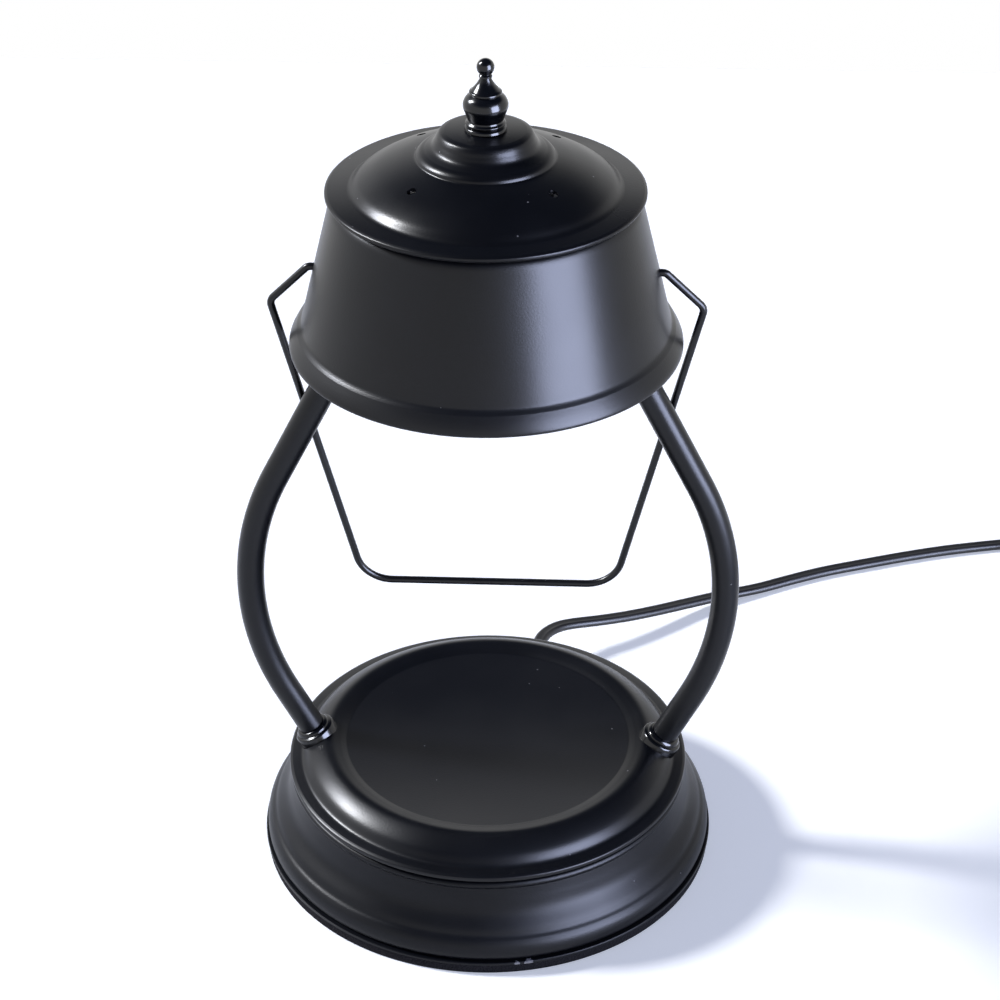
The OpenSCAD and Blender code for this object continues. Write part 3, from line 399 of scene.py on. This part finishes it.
m = Nodes("cast_iron")
m.set(Base_Color=m.mix(m.noise(120.0, 5.0), (0.05, 0.05, 0.052), (0.11, 0.105, 0.10)), Metallic=0.6,
      Roughness=m.span(m.noise(300.0, 4.0), 0.3, 0.7, 0.55, 0.8))
m.bump(m.noise(420.0, 6.0, 0.7), 0.5, 0.0008)
iron_mat = m.material

cord_mat = moulded("cord_vinyl", (0.008, 0.008, 0.009), 0.42, 900.0, 0.08)
case_mat = moulded("case_plastic", (0.010, 0.010, 0.011), 0.48, 1500.0, 0.25)
rocker_mat = moulded("rocker_plastic", (0.009, 0.009, 0.010), 0.22, 1800.0, 0.04)
ceramic_mat = moulded("glazed_ceramic", (0.62, 0.60, 0.54), 0.24, 500.0, 0.05, 1.1)

m = Nodes("pressed_glass")
m.set(Base_Color=(0.95, 0.97, 1.0), Transmission_Weight=0.9, IOR=1.5,
      Roughness=m.span(m.noise(300.0), 0.3, 0.7, 0.05, 0.14))
m.bump(m.voronoi(420.0), 0.5, 0.0008)
glass_mat = m.material

m = Nodes("aluminised_glass")
m.set(Base_Color=m.mix(m.noise(80.0), (0.80, 0.80, 0.79), (0.88, 0.88, 0.87)), Metallic=1.0,
      Roughness=m.span(m.noise(240.0), 0.3, 0.7, 0.10, 0.2))
m.bump(m.voronoi(260.0), 0.25, 0.0008)
mirror_mat = m.material

for names, material in (
    (("ballast_weight",), iron_mat),
    (("centre_bolt", "tray_nut", "foot_nuts", "arm_top_nuts", "strap_bridge", "holder_screws", "centre_rod",
      "rod_nuts", "bail_clips", "switch_screws"), zinc),
    (("terminal_block", "lampholder", "lamp_leads", "bulb_base"), ceramic_mat),
    (("base_leads",), cord_mat),
    (("bulb_reflector",), mirror_mat),
    (("bulb_lens",), glass_mat),
    (("bulb_pins", "switch_contacts", "plug_pins"), brass_mat),
    (("switch_lower", "switch_upper", "plug_body"), case_mat),
    (("switch_rocker",), rocker_mat),
    (("cord_gland", "cord_tie", "plug_boot"), cord_mat),
    (("base_skirt", "base_tray", "bottom_plate", "shade", "shade_cap", "arm_left", "arm_right"), satin_mat),
    (("bail", "finial", "foot_ferrules"), gloss_mat),
    (("base_pad",), foam_mat),
):
    for n in names:
        NODES[n].data.materials.clear()
        NODES[n].data.materials.append(material)

# ---- the cord ------------------------------------------------------------------------------------
LEAD = [
    [17.4, 98.5, 16], [17.8, 103, 15.9], [19.6, 108.6, 15.6], [22.8, 113.8, 15.0], [27.4, 118.2, 14.2],
    [34, 122.2, 13.0], [44, 127, 11.4], [55, 132.9, 9.6], [68, 140.8, 7.6], [82, 150, 5.5], [98, 159.8, 3.6],
    [116, 169, 2.1], [131, 177, 1.8], [147, 184.5, 1.8], [165, 191.3, 1.8], [186, 198.8, 1.8],
    [206, 205.0, 1.8], [228, 210.2, 1.8], [246, 213.2, 2.0], [262, 214.9, 2.4], [272, 215.3, 2.6]]
COIL_X, COIL_Y, TIE_T = 282.0, 179.9, 0.8
COLUMNS = [35.3, 29.4, 23.5]
LAYER = CORD_T + 0.1
Z0 = TIE_T + CORD_T / 2 + 0.05
# Each turn's ring and layer, and the part of the turn in which it moves to the next one's.
TURNS = [(0, 0, 0.66, 0.98), (1, 0, 0.66, 0.98), (2, 0, 0.56, 0.82), (2, 1, 0.34, 0.66), (1, 1, 0.34, 0.66),
         (0, 1, 0.18, 0.42), (0, 2, 0.0, 0.34), (1, 2, 0.0, 1.0), (1, 3, 0.0, 1.0)]
LAST_ANGLE, WHOLE_TURNS, STEPS_A_TURN = 62.0, 7, 72


def coil_points():
    """Round the ring clockwise: in along the bottom, out along the middle, in on the top and away over it."""
    pts, per = [], STEPS_A_TURN
    whole = WHOLE_TURNS * 360 + LAST_ANGLE
    n = int(whole / 360 * per)
    for k in range(n + 1):
        a = whole * k / n
        i = min(int(a // 360), WHOLE_TURNS)
        ring, layer, begin, end = TURNS[i]
        following = TURNS[i + 1]
        t = (a - 360 * i) / (360 if i < WHOLE_TURNS else LAST_ANGLE)
        s = min(max((t - begin) / (end - begin), 0.0), 1.0)
        s = 2 * s * s if s < 0.5 else 1 - 2 * (1 - s) ** 2
        r = COLUMNS[ring] + (COLUMNS[following[0]] - COLUMNS[ring]) * s
        z = Z0 + LAYER * (layer + (following[1] - layer) * s)
        w = math.radians(90 - a)
        pts.append([COIL_X + r * math.cos(w), COIL_Y + r * math.sin(w), z])
    return pts


TAIL = [
    [313.6, 185.5, 13.4], [317.6, 176.6, 13.4], [319.8, 166.5, 13.1], [320.5, 156, 12.0], [320.2, 146, 10.5],
    [320, 136, 9.3], [320, 127, 8.6], [320, 118, 8.5], [320, 105, 8.5], [320, 92, 8.5], [320, 78, 8.5],
    [320, 66, 8.5], [320, 58, 8.0], [320, 47, 5.6], [320, 36, 4.2], [320, 26, 4.6], [320, 16, 6.4],
    [320, 10, 6.8], [320, 2, 6.8]]
coil = coil_points()
route = (smooth(LEAD, 6)[:-1] + smooth([LEAD[-2], LEAD[-1], coil[0]], 6)[6:-1] + coil
         + smooth([coil[-1]] + TAIL, 5)[1:])
keep = [route[0]]
for q in route[1:]:
    if np.linalg.norm(np.array(q) - np.array(keep[-1])) > 0.8:
        keep.append(q)
route = keep

lobe = (CORD_W - CORD_T) / 2
section = []
for side in (1, -1):
    for k in range(11):
        w = math.radians(-90 + 18 * k) if side > 0 else math.radians(90 + 18 * k)
        x = side * lobe + CORD_T / 2 * math.cos(w)
        z = CORD_T / 2 * math.sin(w)
        section.append((x, z * (1.0 if abs(x) > lobe * 0.9 else 0.93)))
    section.append((0.0, side * CORD_T / 2 * 0.72))
cord = sweep("cord", route, section, (0, 0, 1), cord_mat, sharp=70, slot="cord_black")
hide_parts("cord_lead", "cord_coil", "cord_tail", "cord_plug_lead")

# ---- base ----------------------------------------------------------------------------------------
crease_r, crease_z = BASE_R - 3.9, PLATE_TOP + 9
cove_top = LEDGE_UNDER - 5
rim_r, ledge_r = NECK_R + 2.4, NECK_R - 2.6
skirt_line = (
    smooth([[BASE_R - 2.6, PLATE_TOP], [BASE_R - 1.2, PLATE_TOP + 1.2], [BASE_R - 0.9, PLATE_TOP + 3.6],
            [BASE_R - 1.5, PLATE_TOP + 6.2], [BASE_R - 2.7, PLATE_TOP + 8.1],
            [crease_r - 0.2, crease_z + 0.5], [crease_r - 1.5, crease_z + 2.6],
            [(crease_r + NECK_R) / 2 - 0.5, (crease_z + cove_top) / 2 - 1.2],
            [NECK_R + 2.3, cove_top - 4.6], [NECK_R + 1.2, cove_top - 0.4]])
    + smooth([[NECK_R + 1.6, cove_top + 0.1], [NECK_R + 2.1, cove_top + 1.3], [NECK_R + 1.5, cove_top + 2.4],
              [NECK_R + 0.4, cove_top + 2.9], [NECK_R, cove_top + 3.3]])
    + [np.array([NECK_R, LEDGE_UNDER])])
skirt = lathe("skirt", shell(skirt_line, SHEET), skirt_enamel, seg=256, slot="black_paint")
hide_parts("base_skirt")

tray_line = (
    [np.array([rim_r - 0.2, LEDGE_Z - 2.2])]
    + smooth([[rim_r, LEDGE_Z - 1.5], [rim_r - 0.2, LEDGE_Z - 0.6], [rim_r - 1.2, LEDGE_Z]])
    + smooth([[ledge_r + 0.9, LEDGE_Z], [ledge_r - 0.4, LEDGE_Z + 0.7], [ledge_r - 3.2, LEDGE_Z + 3.9],
              [CROWN_R + 3.4, CROWN_Z - 1.2], [CROWN_R, CROWN_Z], [TRAY_R + 3.4, CROWN_Z - 0.7],
              [TRAY_R + 0.6, TRAY_Z + 0.2]])
    + [np.array([TRAY_R, TRAY_Z]), np.array([0.0, TRAY_Z])])
tray_shell = (list(tray_line) + [np.array([0.0, TRAY_Z - SHEET])]
              + list(reversed(beside(tray_line, SHEET)[:-1])))
tray = lathe("tray", tray_shell, satin_mat, seg=256, slot="black_paint")
tray.data.materials.append(disc_enamel)
for poly in tray.data.polygons:
    c = poly.center
    if math.hypot(c.x, c.y) < (TRAY_R - 0.2) * MM and c.z > (TRAY_Z - 0.4) * MM:
        poly.material_index = 1
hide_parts("base_tray")

plate_line = [(0, PAD_H), (BASE_R - 0.25, PAD_H), (BASE_R, PAD_H + 0.25), (BASE_R, PLATE_TOP - 0.25),
              (BASE_R - 0.25, PLATE_TOP), (0, PLATE_TOP)]
plate = lathe("plate", plate_line, plate_enamel, seg=256, slot="black_paint")
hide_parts("bottom_plate")
pad = lathe("pad", [(12, 0), (BASE_R - 0.9, 0), (BASE_R - 0.5, 0.4), (BASE_R - 0.4, PAD_H - 0.3),
                    (BASE_R - 0.6, PAD_H), (12, PAD_H)], foam_mat, seg=256, slot="foam_pad")
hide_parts("base_pad")

# ---- arms and their ferrules ---------------------------------------------------------------------
TUBE_BELOW, TUBE_ABOVE = 11, 5
lean = math.radians(ARM_LEAN)
foot_x = (ledge_r + CROWN_R) / 2
line = np.array(tray_line)
order = np.argsort(line[:, 0])
foot_z = float(np.interp(foot_x, line[order, 0], line[order, 1]))
axis2 = np.array([math.sin(lean), math.cos(lean)])
top_z = SHADE_TOP - SHADE_T + TUBE_ABOVE
bend_z = SHADE_TOP - SHADE_T - TOP_BEND_DROP
bow_x = (foot_x + ARM_TOP_X + (bend_z - foot_z) * math.tan(lean)) / 2
mid_z = foot_z + (bow_x - foot_x) / math.tan(lean)
arm_line = bent([np.array([foot_x, foot_z]) - axis2 * TUBE_BELOW, [bow_x, mid_z], [ARM_TOP_X, bend_z],
                 [ARM_TOP_X, top_z]], [BOW_R, TOP_BEND_R], 1.5)
for side, label in ((-1, "left"), (1, "right")):
    arm = sweep("tube_" + label, [[side * q[0], 0, q[1]] for q in arm_line], round_section(ARM_D / 2, 48),
                (0, 1, 0), satin_mat, slot="black_paint")
    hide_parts("arm_" + label)

collar = [(ARM_D / 2 - 0.2, -5), (FERRULE_R, -5), (FERRULE_R, 1.8)] + smooth(
    [[FERRULE_R - 0.1, 2.0], [FERRULE_R - 0.4, 2.4], [FERRULE_R - 1, 2.6]], 4) + smooth(
    [[ARM_D / 2 + 1.7, 2.7], [ARM_D / 2 + 1.6, 3.4], [ARM_D / 2 + 1.0, 4.2], [ARM_D / 2 + 0.4, 4.4]], 5) + [
    (ARM_D / 2 - 0.2, 4.4)]
for side in (-1, 1):
    place = Matrix.Translation(Vector((side * foot_x, 0, foot_z)) * MM) @ Matrix.Rotation(side * lean, 4, "Y")
    lathe("ferrule_" + ("left" if side < 0 else "right"), collar, gloss_mat, seg=96,
                          matrix=place, slot="black_gloss")
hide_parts("foot_ferrules")

# ---- shade, cap and finial -----------------------------------------------------------------------
band_top = SHADE_Z + BAND_H
shade_line = (
    smooth([[SHADE_R - 0.8, SHADE_Z], [SHADE_R - 0.1, SHADE_Z + 0.7], [SHADE_R - 0.3, SHADE_Z + 2.2],
            [SHADE_R - 1.4, SHADE_Z + 4.4], [CONE_LOW_R + 1.7, band_top]])
    + smooth([[CONE_LOW_R + 0.9, band_top + 0.7], [CONE_LOW_R + 0.2, band_top + 1.7],
              [CONE_LOW_R - 0.3, band_top + 3.4]])
    + smooth([[CONE_TOP_R + 0.6, SHADE_TOP - 5.6], [CONE_TOP_R - 0.2, SHADE_TOP - 3],
              [CONE_TOP_R - 1.4, SHADE_TOP - 1.2], [CONE_TOP_R - 3.4, SHADE_TOP - 0.2],
              [CONE_TOP_R - 5, SHADE_TOP]])
    + [np.array([FLANGE_R, SHADE_TOP])])
shade = lathe("shade_body", shell(shade_line, SHADE_T), satin_mat, seg=256, slot="black_paint")
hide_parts("shade")

ring_z = SHADE_TOP + 1.2 + SHADE_T
dome_z = ring_z + DOME_RISE
crest_z = dome_z + COLLAR_H
cap_line = (
    [np.array([CAP_R - 0.5, SHADE_TOP + 0.1])]
    + smooth([[CAP_R, SHADE_TOP + 0.8], [CAP_R - 0.1, ring_z - 0.6], [CAP_R - 1, ring_z]])
    + smooth([[DOME_R + 0.7, ring_z], [DOME_R - 0.6, ring_z + 0.7],
              [DOME_R - DOME_RUN * 0.15, ring_z + DOME_RISE * 0.3],
              [DOME_R - DOME_RUN * 0.41, ring_z + DOME_RISE * 0.61],
              [DOME_R - DOME_RUN * 0.71, ring_z + DOME_RISE * 0.85], [COLLAR_R + 0.6, dome_z]])
    + smooth([[COLLAR_R + 0.3, dome_z + 0.3], [COLLAR_R - 0.2, dome_z + 1.3], [COLLAR_R - 1.2, dome_z + 2.2],
              [COLLAR_R - 2.6, dome_z + 2.8]])
    + smooth([[COLLAR_R - 3.0, dome_z + 3.0], [CREST_R + 2.2, dome_z + COLLAR_H * 0.44],
              [CREST_R + 1.0, dome_z + COLLAR_H * 0.64], [CREST_R + 0.1, crest_z - 1.7],
              [CREST_R - 0.8, crest_z - 0.6], [CREST_R - 2.4, crest_z]])
    + [np.array([ROD_D / 2 + FIT, crest_z])])
cap = lathe("cap", shell(cap_line, SHADE_T), cap_enamel, seg=256, slot="black_paint")
cutters = []
for k in range(4):
    w = math.radians(45 + 90 * k)
    place = (VENT_R * math.cos(w) * MM, VENT_R * math.sin(w) * MM, ring_z * MM + 0.005)
    bpy.ops.mesh.primitive_cylinder_add(vertices=32, radius=VENT_D / 2 * MM, depth=0.02, location=place)
    cutters.append(bpy.context.object)
bpy.ops.object.select_all(action="DESELECT")
for c in cutters:
    c.select_set(True)
bpy.context.view_layer.objects.active = cutters[0]
bpy.ops.object.join()
cutter = bpy.context.object
drill = cap.modifiers.new("vents", "BOOLEAN")
drill.operation, drill.object, drill.solver = "DIFFERENCE", cutter, "EXACT"
bpy.context.view_layer.update()
holed = bpy.data.meshes.new_from_object(cap.evaluated_get(bpy.context.evaluated_depsgraph_get()))
cap.modifiers.clear()
cap.data = holed
holed.polygons.foreach_set("use_smooth", [True] * len(holed.polygons))
holed.set_sharp_from_angle(angle=math.radians(32))
bpy.data.objects.remove(cutter)
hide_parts("shade_cap")

ball_z = crest_z + FINIAL_H - BALL_R
neck_z = ball_z - BALL_R - 0.6
finial_line = (
    [np.array([ROD_D / 2 + FIT, crest_z]), np.array([FINIAL_R - 0.8, crest_z])]
    + smooth([[FINIAL_R - 0.5, crest_z + 0.5], [FINIAL_R - 0.8, crest_z + 1.3],
              [FINIAL_R - 1.5, crest_z + 1.8]])
    + smooth([[FINIAL_R - 1.1, crest_z + 2.1], [FINIAL_R - 0.9, crest_z + 2.7],
              [FINIAL_R - 1.5, crest_z + 3.4]])
    + smooth([[FINIAL_R - 1.6, crest_z + 3.9], [FINIAL_R - 0.9, crest_z + 6], [FINIAL_R - 0.1, crest_z + 8.2],
              [FINIAL_R - 0.2, crest_z + 10], [FINIAL_R - 1.1, crest_z + 11.7],
              [FINIAL_R - 2.5, crest_z + 12.9]])
    + smooth([[FINIAL_R - 2.2, crest_z + 13.2], [FINIAL_R - 2.3, crest_z + 13.8],
              [FINIAL_R - 3.1, crest_z + 14.5], [BALL_R * 0.9 + 0.2, neck_z - 2], [BALL_R * 0.6, neck_z]])
    + smooth([[BALL_R * 0.75, neck_z + 0.2], [BALL_R * 0.75, neck_z + 0.7]], 3)
    + [np.array([BALL_R * math.cos(math.radians(a)), ball_z + BALL_R * math.sin(math.radians(a))])
       for a in range(-52, 86, 6)]
    + [np.array([0.0, ball_z + BALL_R]), np.array([0.0, crest_z + FINIAL_H * 0.48]),
       np.array([ROD_D / 2 + FIT, crest_z + FINIAL_H * 0.48])])
finial = lathe("finial_turned", finial_line, gloss_mat, seg=128, sharp=26, slot="black_gloss")
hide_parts("finial")

# ---- bail ----------------------------------------------------------------------------------------
slope = (ELBOW_X - GRIP_X) / (BAIL_REACH - ELBOW_DROP)
tilt = math.tan(lean)
cross = (bow_x - ELBOW_X - slope * ELBOW_DROP - (PIVOT_Z - mid_z) * tilt) / (-slope - tilt)
bail_lean = math.asin((ARM_D / 2 + WIRE_D / 2 + 0.3) / cross)
wall_x = CONE_LOW_R - (PIVOT_Z - band_top) * (CONE_LOW_R - CONE_TOP_R) / (SHADE_H - BAND_H - 4)
half = [[wall_x - 5.2, 0], [wall_x + 2.4, 0], [ELBOW_X, -ELBOW_DROP], [GRIP_X, -BAIL_REACH]]
whole = half + [[-q[0], q[1]] for q in reversed(half)]
flat = bent(whole, [2.6, 4, GRIP_BEND, GRIP_BEND, 4, 2.6], 6)
c, s = math.cos(bail_lean), math.sin(bail_lean)
wire_path = [[q[0], -q[1] * s, PIVOT_Z + q[1] * c] for q in flat]
wire = sweep("bail_wire", wire_path, round_section(WIRE_D / 2, 24), (0, c, s), wire_mat, slot="black_gloss",
             body="bail")
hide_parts("bail")

# ---- floor, backdrop and light -------------------------------------------------------------------
FLOOR_CORNERS = [(-0.44, -0.62, 0), (0.64, -0.62, 0), (0.64, 0.80, 0), (-0.44, 0.80, 0)]
FLOOR_COLOUR, FLOOR_GLOW, GLOW_STRENGTH = (0.80, 0.80, 0.80), (0.80, 0.86, 1.0), 0.44
WHITE, CEILING = (1.0, 1.0, 1.0), (0.040, 0.052, 0.088)
CEILING_FROM, CEILING_FULL = 0.30, 0.62
FILL = (0.15, 0.165, 0.26)

KEY_WAY, KEY_STRENGTH, KEY_ANGLE, KEY_COLOUR = Vector((-1.2, 0.2, 1.0)), 3.75, 9.0, (0.97, 0.98, 1.0)
SHEEN_WAY, SHEEN_FAR, SHEEN_SIZE = Vector((-1.22, 0.30, 0.98)), 1.75, 0.34
SHEEN_POWER, SHEEN_COLOUR, SHEEN_AIM = 27.0, (0.88, 0.91, 1.0), (0, 0, 0.1)
BOX_TURN, BOX_FAR, BOX_HEIGHT, BOX_TALL, BOX_AIM = 52.0, 1.5, 0.42, 1.3, (0, 0, 0.2)
BOX_WIDE, BOX_POWER, BOX_COLOUR = 0.98, 8.0, (0.72, 0.80, 1.0)
STRIP_WIDE, STRIP_POWER, STRIP_COLOUR, STRIP_NEARER = 1.0, 96.0, (0.64, 0.71, 1.0), 0.98


def seen_directly(tree):
    """1 for camera, glossy and transmission rays, which all see the same floor and background."""
    path = tree.nodes.new("ShaderNodeLightPath")
    value = path.outputs["Is Camera Ray"]
    for kind in ("Is Glossy Ray", "Is Transmission Ray"):
        largest = tree.nodes.new("ShaderNodeMath")
        largest.operation = "MAXIMUM"
        tree.links.new(value, largest.inputs[0])
        tree.links.new(path.outputs[kind], largest.inputs[1])
        value = largest.outputs[0]
    return value


def blend(tree, factor, a, b):
    n = tree.nodes.new("ShaderNodeMix")
    n.data_type = "RGBA"
    tree.links.new(factor, n.inputs[0])
    for socket, x in ((n.inputs[6], a), (n.inputs[7], b)):
        if isinstance(x, tuple):
            socket.default_value = (*x, 1)
        else:
            tree.links.new(x, socket)
    return n.outputs[2]


scene = bpy.context.scene
scene.view_settings.view_transform = "Standard"
sheet = bpy.data.meshes.new("floor")
sheet.from_pydata(FLOOR_CORNERS, [], [(0, 1, 2, 3)])
floor = bpy.data.objects.new("floor", sheet)
scene.collection.objects.link(floor)
floor_material = bpy.data.materials.new("floor_white")
floor_material.use_nodes = True
t = floor_material.node_tree
t.nodes.clear()
out = t.nodes.new("ShaderNodeOutputMaterial")
add = t.nodes.new("ShaderNodeAddShader")
diffuse = t.nodes.new("ShaderNodeBsdfDiffuse")
diffuse.inputs["Color"].default_value = (*FLOOR_COLOUR, 1)
glow = t.nodes.new("ShaderNodeEmission")
glow.inputs["Color"].default_value = (*FLOOR_GLOW, 1)
strength = t.nodes.new("ShaderNodeMath")
strength.operation = "MULTIPLY"
strength.inputs[1].default_value = GLOW_STRENGTH
t.links.new(seen_directly(t), strength.inputs[0])
t.links.new(strength.outputs[0], glow.inputs["Strength"])
t.links.new(diffuse.outputs[0], add.inputs[0])
t.links.new(glow.outputs[0], add.inputs[1])
t.links.new(add.outputs[0], out.inputs[0])
floor.data.materials.append(floor_material)

# The background is white all round, up to a dim ceiling. Diffuse rays see a plain fill instead.
world = bpy.data.worlds.new("studio")
scene.world = world
world.use_nodes = True
t = world.node_tree
t.nodes.clear()
out = t.nodes.new("ShaderNodeOutputWorld")
back = t.nodes.new("ShaderNodeBackground")
split = t.nodes.new("ShaderNodeSeparateXYZ")
t.links.new(t.nodes.new("ShaderNodeTexCoord").outputs["Generated"], split.inputs[0])
ceiling = t.nodes.new("ShaderNodeMapRange")
ceiling.interpolation_type = "SMOOTHSTEP"
for key, x in (("From Min", CEILING_FROM), ("From Max", CEILING_FULL), ("To Min", 0.0), ("To Max", 1.0)):
    ceiling.inputs[key].default_value = x
t.links.new(split.outputs["Z"], ceiling.inputs["Value"])
background = blend(t, ceiling.outputs[0], WHITE, CEILING)
t.links.new(blend(t, seen_directly(t), FILL, background), back.inputs["Color"])
back.inputs["Strength"].default_value = 1.0
t.links.new(back.outputs[0], out.inputs[0])


def lamp(name, place, target, size, power, colour, size_y=None):
    data = bpy.data.lights.new(name, "AREA")
    data.shape = "RECTANGLE" if size_y else "SQUARE"
    data.size = size
    if size_y:
        data.size_y = size_y
    data.energy = power
    data.color = colour
    o = bpy.data.objects.new(name, data)
    scene.collection.objects.link(o)
    o.location = place
    o.rotation_mode = "QUATERNION"
    o.rotation_quaternion = (Vector(target) - Vector(place)).to_track_quat("-Z", "Y")
    return o


# The key stands to the left and a little behind; a tall soft box stands in front to the right. Each has a
# twin that only reflections see, for the highlights on the paint.
key_dir = KEY_WAY.normalized()
sun = bpy.data.lights.new("key", "SUN")
sun.energy, sun.angle, sun.color = KEY_STRENGTH, math.radians(KEY_ANGLE), KEY_COLOUR
key = bpy.data.objects.new("key", sun)
scene.collection.objects.link(key)
key.rotation_mode = "QUATERNION"
key.rotation_quaternion = (-key_dir).to_track_quat("-Z", "Y")
sheen_place = SHEEN_WAY.normalized() * SHEEN_FAR
sheen = lamp("key_sheen", sheen_place, SHEEN_AIM, SHEEN_SIZE, SHEEN_POWER, SHEEN_COLOUR)
sheen.visible_diffuse = False
box_way = math.radians(BOX_TURN)
box_place = Vector((BOX_FAR * math.sin(box_way), -BOX_FAR * math.cos(box_way), BOX_HEIGHT))
lamp("softbox", box_place, BOX_AIM, BOX_WIDE, BOX_POWER, BOX_COLOUR, BOX_TALL)
strip = lamp("strip", box_place * STRIP_NEARER, BOX_AIM, STRIP_WIDE, STRIP_POWER, STRIP_COLOUR, BOX_TALL)
strip.visible_diffuse = False
